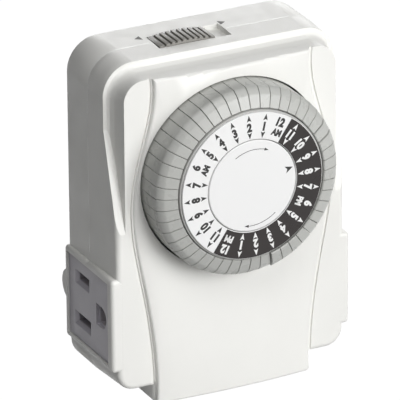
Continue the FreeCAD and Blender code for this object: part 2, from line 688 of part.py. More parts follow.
def dial_drum():
    """Cup with a front plate, a rim, a slotted back flange and a hub with a long tail."""
    rim = pipe(0, FACE_T - LIP_T, DRUM_BACK_Y, 0, DRUM_RIM_RADIUS, DRUM_RIM_RADIUS - DRUM_RIM_T)
    plate = rod(0, FACE_T, FACE_T + DRUM_PLATE_T, 0, DRUM_RIM_RADIUS - DRUM_RIM_T + LAP)
    flange = pipe(0, FLANGE_Y, DRUM_BACK_Y, 0, DRUM_RADIUS - FLANGE_INSET, HUB_RADIUS)
    hub = rod(0, FACE_T, DIAL_GEAR_Y + GEAR_T, 0, HUB_RADIUS)
    drum = fuse([rim, plate, flange, hub])
    lip = rod(0, 0, FACE_T, 0, FACE_RADIUS)
    cuts = [lip, rod(0, -EPS, PIN_TIP_Y, 0, AXLE_RADIUS + TURN_CLEAR)]
    cuts.extend(tongue_slot(i) for i in range(TAB_COUNT))
    return drum.cut(cuts)


def involute_points(teeth):
    """Half tooth flank points as radius and angle from the tooth's middle."""
    pitch_r = GEAR_MODULE * teeth / 2.0
    base_r = pitch_r * math.cos(math.radians(PRESSURE_DEG))
    tip_r = pitch_r + ADDENDUM * GEAR_MODULE
    root_r = pitch_r - DEDENDUM * GEAR_MODULE
    start_r = max(base_r, root_r + ROOT_EASE)

    def roll(radius):
        a = math.acos(min(1.0, base_r / radius))
        return math.tan(a) - a

    half = (math.pi / teeth - GEAR_LASH / pitch_r) / 2.0
    points = [(root_r, half + roll(pitch_r) - roll(start_r) + ROOT_EASE / start_r)]
    for i in range(FLANK_POINTS):
        radius = start_r + (tip_r - start_r) * i / (FLANK_POINTS - 1.0)
        points.append((radius, half + roll(pitch_r) - roll(radius)))
    return points


def gear(teeth, x, y0, thickness, z, tooth_deg):
    """A spur gear along Y whose first tooth points at an angle in the X, Z plane."""
    flank = involute_points(teeth)
    outline = []
    for tooth in range(teeth):
        middle = math.radians(tooth_deg) + 2.0 * math.pi * tooth / teeth
        for radius, offset in flank:
            outline.append((radius, middle - offset))
        for radius, offset in reversed(flank):
            outline.append((radius, middle + offset))
    points = [(x + r * math.cos(a), z + r * math.sin(a)) for r, a in outline]
    return prism(points, y0, y0 + thickness)


def mesh_angle(from_teeth, from_deg, line_deg, to_teeth):
    """Tooth angle that puts a gap of the second gear on a tooth of the first."""
    gap = line_deg + 180.0 - (from_deg - line_deg) * from_teeth / float(to_teeth)
    return gap + 180.0 / to_teeth


def gear_angles():
    first_line = math.degrees(math.atan2(IDLER_Z, IDLER_X))
    pinion = mesh_angle(DIAL_TEETH, 0.0, first_line, PINION_TEETH)
    second_line = math.degrees(math.atan2(MOTOR_Z - IDLER_Z, -IDLER_X))
    motor = mesh_angle(IDLER_TEETH, 0.0, second_line, PINION_TEETH)
    return pinion, motor


def dial_gear():
    wheel = gear(DIAL_TEETH, 0, DIAL_GEAR_Y, GEAR_T, 0, 0.0)
    return wheel.cut(rod(0, DIAL_GEAR_Y - EPS, DIAL_GEAR_Y + GEAR_T + EPS, 0, HUB_RADIUS))


def idler_gear():
    """Small pinion and large wheel moulded as one."""
    pinion = gear(PINION_TEETH, IDLER_X, DIAL_GEAR_Y, GEAR_T + GEAR_SPACE, IDLER_Z, gear_angles()[0])
    wheel = gear(IDLER_TEETH, IDLER_X, IDLER_GEAR_Y, GEAR_T, IDLER_Z, 0.0)
    bore = rod(IDLER_X, DIAL_GEAR_Y - EPS, MOTOR_Y, IDLER_Z, IDLER_SHAFT_RADIUS + TURN_CLEAR)
    return pinion.fuse(wheel).cut(bore)


def motor_pinion():
    pinion = gear(PINION_TEETH, 0, IDLER_GEAR_Y, GEAR_T, MOTOR_Z, gear_angles()[1])
    return pinion.cut(rod(0, IDLER_GEAR_Y - EPS, MOTOR_Y, MOTOR_Z, ROTOR_SHAFT_RADIUS))


def gear_plate():
    plate = box(-GEAR_PLATE_HALF, GEAR_PLATE_HALF, GEAR_PLATE_Y, MOTOR_Y,
                GEAR_PLATE_LOW, MOTOR_Z + CAN_RADIUS)
    arm = box(-ARM_HALF, IDLER_X + ARM_HALF, GEAR_PLATE_Y, MOTOR_Y, MOTOR_Z, GEAR_PLATE_TOP)
    solid = plate.fuse(arm).removeSplitter()
    y0, y1 = GEAR_PLATE_Y - EPS, MOTOR_Y + EPS
    cuts = [rod(0, y0, y1, 0, AXLE_RADIUS), rod(IDLER_X, y0, y1, IDLER_Z, IDLER_SHAFT_RADIUS),
            rod(0, y0, y1, MOTOR_Z, SHAFT_OPENING)]
    for x, z in post_places() + ear_places():
        cuts.append(rod(x, y0, y1, z, SCREW_RADIUS))
    return solid.cut(cuts)


def ear_places():
    return [(-EAR_X, MOTOR_Z), (EAR_X, MOTOR_Z)]


def motor_lid():
    solids = [rod(0, MOTOR_Y, CAN_Y, MOTOR_Z, CAN_RADIUS)]
    for x, z in ear_places():
        solids.append(rod(x, MOTOR_Y, CAN_Y, z, EAR_RADIUS))
        solids.append(box(0, x, MOTOR_Y, CAN_Y, z - EAR_RADIUS, z + EAR_RADIUS))
    lid = fuse(solids)
    cuts = [rod(0, MOTOR_Y - EPS, CAN_Y + EPS, MOTOR_Z, ROTOR_SHAFT_RADIUS + TURN_CLEAR)]
    for x, z in ear_places():
        cuts.append(rod(x, MOTOR_Y - EPS, CAN_Y + EPS, z, SCREW_RADIUS))
    return lid.cut(cuts)


def motor_can():
    can = rod(0, CAN_Y, CAN_BACK_Y, MOTOR_Z, CAN_RADIUS)
    inside = rod(0, CAN_Y - EPS, CAN_BACK_Y - CAN_WALL, MOTOR_Z, CAN_RADIUS - CAN_WALL)
    hole = rod(0, CAN_Y, CAN_BACK_Y + EPS, MOTOR_Z, ROTOR_SHAFT_RADIUS + TURN_CLEAR)
    way = LEAD_RADIUS + LEAD_CLEAR
    leads = [box(side * LEAD_X - way, side * LEAD_X + way, LEAD_Y - way, LEAD_Y + way,
                 MOTOR_Z, MOTOR_Z + CAN_RADIUS + EPS) for side in (-1, 1)]
    return can.cut([inside, hole] + leads)


def coil_bobbin():
    inner = ROTOR_RADIUS + ROTOR_GAP
    core = inner + BOBBIN_WALL
    rim = core + COIL_BUILD + BOBBIN_RIM
    y1 = CAN_BACK_Y - CAN_WALL
    solids = [pipe(0, CAN_Y, y1, MOTOR_Z, core, inner),
              pipe(0, CAN_Y, CAN_Y + BOBBIN_WALL, MOTOR_Z, rim, inner),
              pipe(0, y1 - BOBBIN_WALL, y1, MOTOR_Z, rim, inner)]
    return fuse(solids)


def motor_coil():
    core = ROTOR_RADIUS + ROTOR_GAP + BOBBIN_WALL
    return pipe(0, CAN_Y + BOBBIN_WALL, CAN_BACK_Y - CAN_WALL - BOBBIN_WALL, MOTOR_Z,
                core + COIL_BUILD, core)


def motor_rotor():
    return pipe(0, CAN_Y + ROTOR_GAP, CAN_BACK_Y - CAN_WALL - ROTOR_GAP, MOTOR_Z,
                ROTOR_RADIUS, ROTOR_SHAFT_RADIUS)


def rotor_shaft():
    return rod(0, IDLER_GEAR_Y, CAN_BACK_Y, MOTOR_Z, ROTOR_SHAFT_RADIUS)


def motor_leads():
    """Two insulated leads from the coil up to the neutral and load straps."""
    core = ROTOR_RADIUS + ROTOR_GAP + BOBBIN_WALL + COIL_BUILD
    start = MOTOR_Z + math.sqrt(core ** 2 - LEAD_X ** 2) + LEAD_RADIUS
    leads = []
    for side, strap_y, strap_z in ((-1, LOAD_STRAP_Y, LOAD_CROSS_Z),
                                   (1, NEUTRAL_STRAP_Y, NEUTRAL_CROSS_Z)):
        x = side * LEAD_X
        turn_z = strap_z - STRAP_WIDTH / 2.0 + LEAD_RADIUS * 2
        up = Part.makeCylinder(LEAD_RADIUS, turn_z - start, V(x, LEAD_Y, start), V(0, 0, 1))
        knee = Part.makeSphere(LEAD_RADIUS, V(x, LEAD_Y, turn_z))
        over = rod(x, LEAD_Y, strap_y, turn_z, LEAD_RADIUS)
        leads.append(fuse([up, knee, over]))
    return Part.makeCompound(leads)


def dial_axle():
    return rod(0, DISC_T, MOTOR_Y, 0, AXLE_RADIUS)


def centre_disc():
    return rod(0, 0, DISC_T, 0, DISC_RADIUS)


def dial_face():
    return pipe(0, 0, FACE_T, 0, FACE_RADIUS, DISC_RADIUS + DISC_GAP)


def idler_shaft():
    return rod(IDLER_X, DIAL_GEAR_Y, MOTOR_Y, IDLER_Z, IDLER_SHAFT_RADIUS)


def screw(x, y_head, z, length):
    """A pan head screw that enters towards the dial."""
    shank = rod(x, y_head - length, y_head, z, SCREW_RADIUS)
    head = rod(x, y_head, y_head + HEAD_T, z, HEAD_RADIUS)
    slot = box(x - HEAD_RADIUS, x + HEAD_RADIUS, y_head + HEAD_T - DRIVE_DEPTH,
               y_head + HEAD_T + EPS, z - DRIVE_SLOT / 2.0, z + DRIVE_SLOT / 2.0)
    return shank.fuse(head).removeSplitter().cut(slot)


def case_screws():
    length = SCREW_HEAD_Y - SEAM_Y + SCREW_BITE - SCREW_END_GAP
    return Part.makeCompound([screw(x, SCREW_HEAD_Y, z, length) for x, z in screw_places()])


def plate_screws():
    return Part.makeCompound([screw(x, MOTOR_Y, z, PLATE_BITE) for x, z in post_places()])


def motor_screws():
    return Part.makeCompound([screw(x, CAN_Y, z, GEAR_PLATE_T + LID_T) for x, z in ear_places()])


def blade_clip(side, z, strap_y):
    """Two spring leaves that grip a blade, on a web that reaches the strap."""
    x0, x1 = side * CLIP_X, side * (CLIP_X + CLIP_LENGTH)
    web_x = side * (CLIP_X + CLIP_T)
    reach = BLADE_T / 2.0 + CLIP_T
    y0, y1 = SLOT_Y - CLIP_WIDTH / 2.0, SLOT_Y + CLIP_WIDTH / 2.0
    upper = box(x0, x1, y0, y1, z + BLADE_T / 2.0, z + reach)
    lower = box(x0, x1, y0, y1, z - reach, z - BLADE_T / 2.0)
    web = box(x0, web_x, y0, strap_y, z - reach, z + reach)
    return fuse([upper, lower, web])


def ground_clip(side):
    """A spring sleeve round the ground pin, with a tail back to the strap."""
    x0, x1 = side * CLIP_X, side * (CLIP_X + CLIP_LENGTH)
    sleeve = cross_rod(x0, x1, GROUND_Y, OUTLET_Z, GROUND_PIN_RADIUS + CLIP_T)
    tail = box(x0, side * (CLIP_X + CLIP_T), GROUND_Y, GROUND_STRAP_Y,
               OUTLET_Z - STRAP_WIDTH / 2.0, OUTLET_Z + STRAP_WIDTH / 2.0)
    bore = cross_rod(side * (CLIP_X + CLIP_T), side * (CLIP_X + CLIP_LENGTH + EPS),
                     GROUND_Y, OUTLET_Z, GROUND_PIN_RADIUS)
    return sleeve.fuse(tail).removeSplitter().cut(bore)


def pair(maker):
    return Part.makeCompound([maker(-1), maker(1)])


def hot_clips():
    return pair(lambda side: blade_clip(side, HOT_Z, LOAD_STRAP_Y))


def neutral_clips():
    return pair(lambda side: blade_clip(side, NEUTRAL_Z, NEUTRAL_STRAP_Y))


def ground_clips():
    return pair(ground_clip)


def strap(y, leg_x, cross_z, clip_z):
    """A flat strap: a crossbar, a leg down each side and a foot out to each clip."""
    half = STRAP_WIDTH / 2.0
    y1 = y + STRAP_T
    solids = [box(-leg_x - half, leg_x + half, y, y1, cross_z - half, cross_z + half)]
    for side in (-1, 1):
        solids.append(box(side * (leg_x - half), side * (leg_x + half), y, y1,
                          clip_z - half, cross_z + half))
        solids.append(box(side * leg_x, side * (CLIP_X + CLIP_T), y, y1,
                          clip_z - half, clip_z + half))
    return solids


def load_strap():
    """Feeds both hot clips from the fixed contact of the switch."""
    half = STRAP_WIDTH / 2.0
    solids = strap(LOAD_STRAP_Y, LOAD_LEG_X, LOAD_CROSS_Z, HOT_Z)
    solids.append(box(FOLLOWER_X - half, FOLLOWER_X + half, LOAD_STRAP_Y, LOAD_STRAP_Y + STRAP_T,
                      LOAD_CROSS_Z - half, NOSE_Z + CONTACT_RADIUS))
    solids.append(box(FOLLOWER_X - half, -LOAD_LEG_X, LOAD_STRAP_Y, LOAD_STRAP_Y + STRAP_T,
                      LOAD_CROSS_Z - half, LOAD_CROSS_Z + half))
    return fuse(solids)


def ground_strap():
    half = STRAP_WIDTH / 2.0
    solids = strap(GROUND_STRAP_Y, GROUND_LEG_X, GROUND_CROSS_Z, OUTLET_Z)
    solids.append(box(-half, half, GROUND_STRAP_Y, GROUND_STRAP_Y + STRAP_T,
                      GROUND_CROSS_Z, GROUND_PIN_Z + GROUND_PIN_RADIUS))
    return fuse(solids)


def neutral_strap():
    half = STRAP_WIDTH / 2.0
    solids = strap(NEUTRAL_STRAP_Y, NEUTRAL_LEG_X, NEUTRAL_CROSS_Z, NEUTRAL_Z)
    solids.append(box(BLADE_X - half, BLADE_X + half, NEUTRAL_STRAP_Y, NEUTRAL_STRAP_Y + STRAP_T,
                      NEUTRAL_CROSS_Z, PLUG_Z + BLADE_WIDTH / 2.0))
    return fuse(solids)


def line_strap():
    """Carries the supply from the hot blade to the moving leaf of the switch."""
    half = STRAP_WIDTH / 2.0
    y0, y1 = NEUTRAL_STRAP_Y, NEUTRAL_STRAP_Y + STRAP_T
    solids = [box(-BLADE_X - half, -BLADE_X + half, y0, y1, PLUG_Z - BLADE_WIDTH / 2.0,
                  FOLLOWER_PIVOT_Z + half),
              box(FOLLOWER_X - half, -BLADE_X, y0, y1, FOLLOWER_PIVOT_Z - half, FOLLOWER_PIVOT_Z + half),
              box(FOLLOWER_X - half, FOLLOWER_X + half, LEAF_Y + LEAF_T + CONTACT_GAP, y1,
                  FOLLOWER_PIVOT_Z + half - STRAP_T, FOLLOWER_PIVOT_Z + half)]
    return fuse(solids)


def plug_blade(side):
    """A flat blade with its corners taken off at the tip."""
    x = side * BLADE_X
    y0, y1 = NEUTRAL_STRAP_Y + STRAP_T, WALL_PLANE_Y + BLADE_LENGTH
    solid = box(x - BLADE_T / 2.0, x + BLADE_T / 2.0, y0, y1,
                PLUG_Z - BLADE_WIDTH / 2.0, PLUG_Z + BLADE_WIDTH / 2.0)
    tip = [e for e in solid.Edges if abs(e.CenterOfMass.y - y1) < NEAR
           and abs(e.CenterOfMass.x - x) < NEAR]
    return solid.makeChamfer(BLADE_CHAMFER, tip)


def ground_pin():
    """A round pin seated in the boss's recess, with a thinner root through to the strap."""
    seat_y = WALL_PLANE_Y - PIN_SEAT_DEPTH
    pin = rod(0, seat_y, PIN_TIP_Y, GROUND_PIN_Z, GROUND_PIN_RADIUS)
    tip = [e for e in pin.Edges if abs(e.CenterOfMass.y - PIN_TIP_Y) < NEAR]
    root = rod(0, GROUND_STRAP_Y + STRAP_T, seat_y, GROUND_PIN_Z, PIN_ROOT_RADIUS)
    return pin.makeFillet(PIN_TIP_ROUND, tip).fuse(root).removeSplitter()


def override_knob():
    """An arched slider with ribs across it and a stem through the roof."""
    x0, x1 = KNOB_LEFT, KNOB_LEFT + KNOB_LENGTH
    z0 = CASE_TOP - RECESS_DEPTH + KNOB_LIFT
    middle = (x0 + x1) / 2.0
    y0, y1 = KNOB_Y - KNOB_WIDTH / 2.0, KNOB_Y + KNOB_WIDTH / 2.0
    arch = Part.Arc(V(x0, y0, CASE_TOP), V(middle, y0, CASE_TOP + KNOB_ARCH), V(x1, y0, CASE_TOP))
    side = Part.makePolygon([V(x1, y0, CASE_TOP), V(x1, y0, z0), V(x0, y0, z0), V(x0, y0, CASE_TOP)])
    face = Part.Face(Part.Wire([arch.toShape()] + side.Edges))
    knob = face.extrude(V(0, y1 - y0, 0))
    stem = box(middle - STEM_LENGTH / 2.0, middle + STEM_LENGTH / 2.0,
               KNOB_Y - STEM_WIDTH / 2.0, KNOB_Y + STEM_WIDTH / 2.0,
               CASE_TOP - RECESS_DEPTH - RECESS_SKIN - KNOB_CLEAR, z0 + LAP)
    pitch = KNOB_LENGTH / KNOB_RIBS
    cuts = []
    for i in range(1, KNOB_RIBS):
        x = x0 + i * pitch
        top = CASE_TOP + KNOB_ARCH * (1.0 - (2.0 * (x - middle) / KNOB_LENGTH) ** 2)
        cuts.append(box(x - RIB_GROOVE / 2.0, x + RIB_GROOVE / 2.0, y0 - EPS, y1 + EPS,
                        top - RIB_DEPTH, top + EPS))
    return knob.fuse(stem).removeSplitter().cut(cuts)


def override_bar():
    """The bar under the roof that the slider carries to the switch."""
    middle = KNOB_LEFT + KNOB_LENGTH / 2.0
    z1 = CASE_TOP - RECESS_DEPTH - RECESS_SKIN - KNOB_CLEAR
    return box(KNOB_LEFT + KNOB_CLEAR, middle + STEM_LENGTH, KNOB_Y - STEM_WIDTH, KNOB_Y + STEM_WIDTH,
               z1 - BAR_T, z1)


def cam_follower():
    """A lever with a nose for the pushed-in tabs and a pad that presses the leaf."""
    half = FOLLOWER_WIDTH / 2.0
    y1 = FOLLOWER_Y + FOLLOWER_T
    arm = box(FOLLOWER_X - half, FOLLOWER_X + half, FOLLOWER_Y, y1,
              NOSE_Z - NOSE_RADIUS, FOLLOWER_PIVOT_Z)
    knuckle = cross_rod(FOLLOWER_X - half, FOLLOWER_X + half, FOLLOWER_PIN_Y,
                        FOLLOWER_PIVOT_Z, KNUCKLE_RADIUS)
    nose = rod(FOLLOWER_X, NOSE_Y, y1, NOSE_Z, NOSE_RADIUS)
    pad = rod(FOLLOWER_X, FOLLOWER_Y, LEAF_Y - PUSH_GAP, NOSE_Z, NOSE_RADIUS)
    bore = cross_rod(FOLLOWER_X - half - EPS, FOLLOWER_X + half + EPS, FOLLOWER_PIN_Y,
                     FOLLOWER_PIVOT_Z, FOLLOWER_PIN_RADIUS + TURN_CLEAR)
    return fuse([arm, knuckle, nose, pad]).cut(bore)


def follower_pin():
    half = FOLLOWER_WIDTH / 2.0 + EAR_GAP + PIN_EAR_T
    return cross_rod(FOLLOWER_X - half, FOLLOWER_X + half, FOLLOWER_PIN_Y,
                     FOLLOWER_PIVOT_Z, FOLLOWER_PIN_RADIUS)


def moving_leaf():
    half = STRAP_WIDTH / 2.0
    return box(FOLLOWER_X - half, FOLLOWER_X + half, LEAF_Y, LEAF_Y + LEAF_T,
               NOSE_Z - CONTACT_RADIUS, FOLLOWER_PIVOT_Z - half)


def moving_contact():
    y = LEAF_Y + LEAF_T
    return rod(FOLLOWER_X, y, y + CONTACT_T, NOSE_Z, CONTACT_RADIUS)


def fixed_contact():
    return rod(FOLLOWER_X, LOAD_STRAP_Y - CONTACT_T, LOAD_STRAP_Y, NOSE_Z, CONTACT_RADIUS)


def main():
    os.makedirs("parts", exist_ok=True)
    save("front_cover", front_cover())
    save("back_cover", back_cover())
    save("left_outlet_insert", outlet_insert(-1))
    save("right_outlet_insert", outlet_insert(1))
    for number in range(BANK_COUNT):
        save("tripper_bank_%02d" % (number + 1), tripper_bank(number))
    makers = [dial_drum, dial_face, centre_disc, dial_axle, dial_gear, idler_gear, idler_shaft,
              motor_pinion, rotor_shaft, motor_rotor, coil_bobbin, motor_coil, motor_can,
              motor_lid, motor_leads, gear_plate, plate_screws, motor_screws, case_screws,
              hot_clips, neutral_clips, ground_clips, load_strap, neutral_strap, ground_strap,
              line_strap, ground_pin, override_knob, override_bar, cam_follower, follower_pin,
              moving_leaf, moving_contact, fixed_contact]
    for maker in makers:
        save(maker.__name__, maker())
    save("line_blade", plug_blade(-1))
    save("neutral_blade", plug_blade(1))


main()
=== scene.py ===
"""Dresses the plug-in timer: finer pieces for what shows, the dial's print, the materials,
the lights and the camera.

Lengths are in millimetres, and those of the camera, the stage and the lights in metres. Places
are taken from the dial's axis, at DIAL_X, DIAL_Z, and from its printed side, which faces -Y.
"""
import json
import math

import bmesh
import bpy
from mathutils import Matrix, Vector


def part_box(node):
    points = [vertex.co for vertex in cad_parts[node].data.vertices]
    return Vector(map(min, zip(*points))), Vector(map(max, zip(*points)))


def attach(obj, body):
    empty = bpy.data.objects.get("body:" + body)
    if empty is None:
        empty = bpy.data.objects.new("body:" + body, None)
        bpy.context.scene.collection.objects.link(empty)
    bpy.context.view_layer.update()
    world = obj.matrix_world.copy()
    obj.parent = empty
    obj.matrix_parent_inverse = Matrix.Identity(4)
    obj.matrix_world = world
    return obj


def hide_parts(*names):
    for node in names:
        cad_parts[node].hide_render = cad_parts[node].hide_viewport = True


MM = 0.001
MICRON = 0.000001

# Camera, fitted to the photograph: a long lens, seen from the left and above
CAMERA_AT = (-0.6601, -1.3186, 0.6924)
CAMERA_BACK = (-0.4109, -0.8191, 0.4003)
CAMERA_ROLL_DEG = -0.4
CAMERA_LENS = 516.9
CAMERA_SENSOR = 36.0
CAMERA_CLIP = (0.05, 20.0)

# Lights: name, direction from the target, distance, size and watts
LIGHT_TARGET = (0.0, -0.01, 0.05)
LIGHTS = (
    ("key", (0.34, -0.88, 0.30), 1.2, (0.8, 0.8), 11.6),
    ("top_fill", (-0.14, -0.5, 0.84), 1.2, (1.0, 0.6), 5.6),
    ("back_fill", (0.45, 0.85, 0.3), 1.4, (0.8, 0.8), 7.0),
)
WORLD_TINT = (0.97, 0.98, 1.0)
WORLD_FILL = 0.02

# Floor: a mid tone to the object, and white to the camera and to reflections
FLOOR_SIZE = 6.0
FLOOR_TONES = (0.30, 0.33)
FLOOR_NOISE_SCALE = 3.0
FLOOR_ROUGHNESS = 0.9
GLOW_STRENGTH = 1.12
GLOW_SHARE = 0.9

# Noise and wave scales per metre, the part of a noise that is used, and the spread of roughness
MOTTLE_SCALE = 55.0
SHEEN_SCALE = 240.0
GRAIN_SCALE = 5200.0
STREAK_SCALE = 1400.0
PATCH_SCALE = 160.0
WIRE_SCALE = 1500.0
NOISE_LOW = 0.3
NOISE_HIGH = 0.7
PLASTIC_SPREAD = (-0.05, 0.06)
METAL_SPREAD = (-0.07, 0.1)
PLASTIC_SPECULAR = 0.5

# Tabs of the dial, as their solids
TAB_COUNT = 48
BANK_COUNT = 12
TAB_PITCH_DEG = 360.0 / TAB_COUNT
TAB_INNER = 22.3
TAB_OUTER = 27.8
TAB_FACE_Y = 1.0
TAB_FACE_FALL = 1.2
TAB_CHAMFER = 1.8
TAB_BACK_Y = 16.8
TAB_GAP = 0.14
TAB_PROUD = 0.9
PROUD_FIRST = -3
PROUD_LAST = 9
TONGUE_RADIUS = 25.6
TONGUE_HALF_T = 0.9
TONGUE_HALF_WIDTH = 1.0
TONGUE_TIP_Y = 21.7
TONGUE_TAPER = 0.8
TONGUE_OVERLAP = 0.1

# Eased edges of a tab: along its section, and down both of its sides
TAB_EASE = 0.25
TAB_EDGE = 0.22
TAB_EDGE_SLOPE = 0.8
TAB_EDGE_SHARE = 0.06
TAB_SKIRT_FROM = 5
TAB_WALL_FROM = 7

# Print on the dial ring
INK_T = 0.03
HOURS = 24
HOURS_PER_QUARTER = 6
HOUR_DEG = 15.0
FIRST_HOUR_DEG = 27.0
NIGHT_FIRST_HOUR = 11.5
NIGHT_INSET = 0.1
NIGHT_EASE = 0.005
NIGHT_STEPS = 120
DART_OUTER_R = 21.05
DART_INNER_R = 14.0
DART_LENGTH = 1.9
DART_HALF_WIDTH = 0.68
DART_NOTCH = 0.35
DIGIT_HEIGHT = 2.3
DIGIT_MIDDLE_R = 17.4
DIGIT_BOLD = 0.085
DIGIT_NARROW = 0.86
QUARTER_MIDDLE_R = 19.3
WORD_MIDDLE_R = 16.2
WORD_HEIGHT = 1.8
WORD_NARROW = 0.8
CAPITAL_SHARE = 0.70
LETTER_STEPS = 4

# Centre disc: its two arrows as start radius, end radius, start angle and end angle
DISC_GAP = 0.3
DISC_EASE = 0.2
ARCS = ((10.4, 10.9, 120.0, 70.0), (11.6, 11.9, -53.0, -96.0))
ARC_WIDTH = 0.16
ARC_STEPS = 24
ARC_HEAD = 1.3
ARC_HEAD_HALF = 0.42
POINTER_LENGTH = 2.3
POINTER_HALF_WIDTH = 1.05
POINTER_NOTCH = 0.6
POINTER_R = 12.8
POINTER_DEG = 15.0

# Triangles printed on the top: the place of each base, and the side that its tip points to
TOP_MARKS = ((-17.3, -1.0), (6.8, 1.0))
TOP_MARK_Y = 33.5
TOP_MARK_LENGTH = 1.9
TOP_MARK_HALF = 1.35

# Lip along the case's seam, which stops short of the slider and of its trough's far end
CASE_HALF_WIDTH = 36.0
SEAM_HALF_WIDTH = 0.16
SEAM_PROUD = 0.05
SEAM_SINK = 0.1
SEAM_CORNER = 9.5
SEAM_CORNER_STEPS = 12
SEAM_STOP_Z = -24.0
SEAM_KNOB_GAP = 0.5
SEAM_TROUGH_GAP = 5.1

# CAD nodes whose edges are eased
EASED_NODES = (
    ("front_cover", 0.2), ("back_cover", 0.2), ("left_outlet_insert", 0.12),
    ("right_outlet_insert", 0.12), ("override_knob", 0.12), ("dial_drum", 0.12),
)
EASE_WELD = 0.002
EASE_SEGMENTS = 2
EASE_LIMIT_DEG = 35.0

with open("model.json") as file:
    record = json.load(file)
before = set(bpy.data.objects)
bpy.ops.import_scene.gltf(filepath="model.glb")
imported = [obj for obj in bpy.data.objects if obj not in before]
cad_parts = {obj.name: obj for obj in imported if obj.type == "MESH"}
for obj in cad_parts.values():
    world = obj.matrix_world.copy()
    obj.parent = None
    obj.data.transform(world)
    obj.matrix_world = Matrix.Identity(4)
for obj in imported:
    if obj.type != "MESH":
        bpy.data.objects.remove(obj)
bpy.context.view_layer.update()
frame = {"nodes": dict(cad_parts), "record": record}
NODES = frame["nodes"]


def box_mm(node):
    """A node's corners in millimetres."""
    low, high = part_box(node)
    return Vector(low) / MM, Vector(high) / MM


FACE_LOW, FACE_HIGH = box_mm("dial_face")
DISC_LOW, DISC_HIGH = box_mm("centre_disc")
KNOB_LOW, KNOB_HIGH = box_mm("override_knob")
BACK_LOW, BACK_HIGH = box_mm("back_cover")
DIAL_X = (FACE_LOW.x + FACE_HIGH.x) / 2.0
DIAL_Z = (FACE_LOW.z + FACE_HIGH.z) / 2.0
PRINT_Y = FACE_LOW.y
FACE_RADIUS = (FACE_HIGH.x - FACE_LOW.x) / 2.0
FACE_T = FACE_HIGH.y - FACE_LOW.y
DISC_RADIUS = (DISC_HIGH.x - DISC_LOW.x) / 2.0
DISC_T = DISC_HIGH.y - DISC_LOW.y


# ---------------------------------------------------------------- materials
def node_tree(name):
    """A new material with its tree, its shader and the object's own coordinates."""
    material = bpy.data.materials.new(name)
    material.use_nodes = True
    tree = material.node_tree
    shader = tree.nodes["Principled BSDF"]
    place = tree.nodes.new("ShaderNodeTexCoord")
    return material, tree, shader, place.outputs["Object"]


def noise(tree, place, scale, detail=3.0, stretch=None):
    """A noise value over the object's own coordinates, stretched along an axis if asked."""
    if stretch:
        mapping = tree.nodes.new("ShaderNodeMapping")
        mapping.inputs["Scale"].default_value = stretch
        tree.links.new(place, mapping.inputs["Vector"])
        place = mapping.outputs["Vector"]
    texture = tree.nodes.new("ShaderNodeTexNoise")
    texture.inputs["Scale"].default_value = scale
    texture.inputs["Detail"].default_value = detail
    texture.inputs["Roughness"].default_value = 0.55
    tree.links.new(place, texture.inputs["Vector"])
    return texture.outputs["Fac"]


def ramp(tree, value, stops):
    """A colour ramp over a value, with stops of a place and a colour."""
    node = tree.nodes.new("ShaderNodeValToRGB")
    elements = node.color_ramp.elements
    for element, (where, colour) in zip(elements, stops):
        element.position = where
        element.color = (*colour, 1.0)
    tree.links.new(value, node.inputs["Fac"])
    return node.outputs["Color"]


def spread(tree, value, middle, ends):
    """Maps a noise value onto a range about a middle value."""
    node = tree.nodes.new("ShaderNodeMapRange")
    node.inputs["From Min"].default_value = NOISE_LOW
    node.inputs["From Max"].default_value = NOISE_HIGH
    node.inputs["To Min"].default_value = middle + ends[0]
    node.inputs["To Max"].default_value = middle + ends[1]
    tree.links.new(value, node.inputs["Value"])
    return node.outputs["Result"]


def bump(tree, shader, height, microns):
    node = tree.nodes.new("ShaderNodeBump")
    node.inputs["Strength"].default_value = 1.0
    node.inputs["Distance"].default_value = microns * MICRON
    tree.links.new(height, node.inputs["Height"])
    tree.links.new(node.outputs["Normal"], shader.inputs["Normal"])


def shade(colour, share):
    return tuple(channel * share for channel in colour)


def moulded(name, colour, roughness, grain=3.5, variation=0.03):
    """Moulded plastic: faint flow mottle, satin grain and a slightly uneven gloss."""
    material, tree, shader, place = node_tree(name)
    mottle = noise(tree, place, MOTTLE_SCALE, 4.0)
    stops = [(NOISE_LOW, shade(colour, 1.0 - variation)), (NOISE_HIGH, colour)]
    tree.links.new(ramp(tree, mottle, stops), shader.inputs["Base Color"])
    sheen = noise(tree, place, SHEEN_SCALE, 2.0)
    tree.links.new(spread(tree, sheen, roughness, PLASTIC_SPREAD), shader.inputs["Roughness"])
    bump(tree, shader, noise(tree, place, GRAIN_SCALE, 2.0), grain)
    shader.inputs["Specular IOR Level"].default_value = PLASTIC_SPECULAR
    return material


def metal(name, colour, roughness, stretch):
    """Rolled or drawn metal: fine streaks along the sheet and patches of dulled plating."""
    material, tree, shader, place = node_tree(name)
    streak = noise(tree, place, STREAK_SCALE, stretch=stretch)
    patch = noise(tree, place, PATCH_SCALE, 4.0)
    tint = ramp(tree, patch, [(0.35, shade(colour, 0.86)), (0.65, colour)])
    tree.links.new(tint, shader.inputs["Base Color"])
    shader.inputs["Metallic"].default_value = 1.0
    tree.links.new(spread(tree, streak, roughness, METAL_SPREAD), shader.inputs["Roughness"])
    bump(tree, shader, streak, 2.0)
    return material


def wound(name, colour):
    """Enamelled wire laid in turns round the bobbin, with painted shade in the grooves between
    turns.
    """
    material, tree, shader, place = node_tree(name)
    wave = tree.nodes.new("ShaderNodeTexWave")
    wave.wave_type = "BANDS"
    wave.bands_direction = "Y"
    wave.inputs["Scale"].default_value = WIRE_SCALE
    wave.inputs["Distortion"].default_value = 0.6
    tree.links.new(place, wave.inputs["Vector"])
    # The bands follow the turns of wire, and their dark part, in the bump's valleys, is painted
    # shade in the grooves
    tint = ramp(tree, wave.outputs["Fac"], [(0.1, shade(colour, 0.35)), (0.7, colour)])
    tree.links.new(tint, shader.inputs["Base Color"])
    shader.inputs["Metallic"].default_value = 0.8
    shader.inputs["Roughness"].default_value = 0.35
    bump(tree, shader, wave.outputs["Fac"], 30.0)
    return material


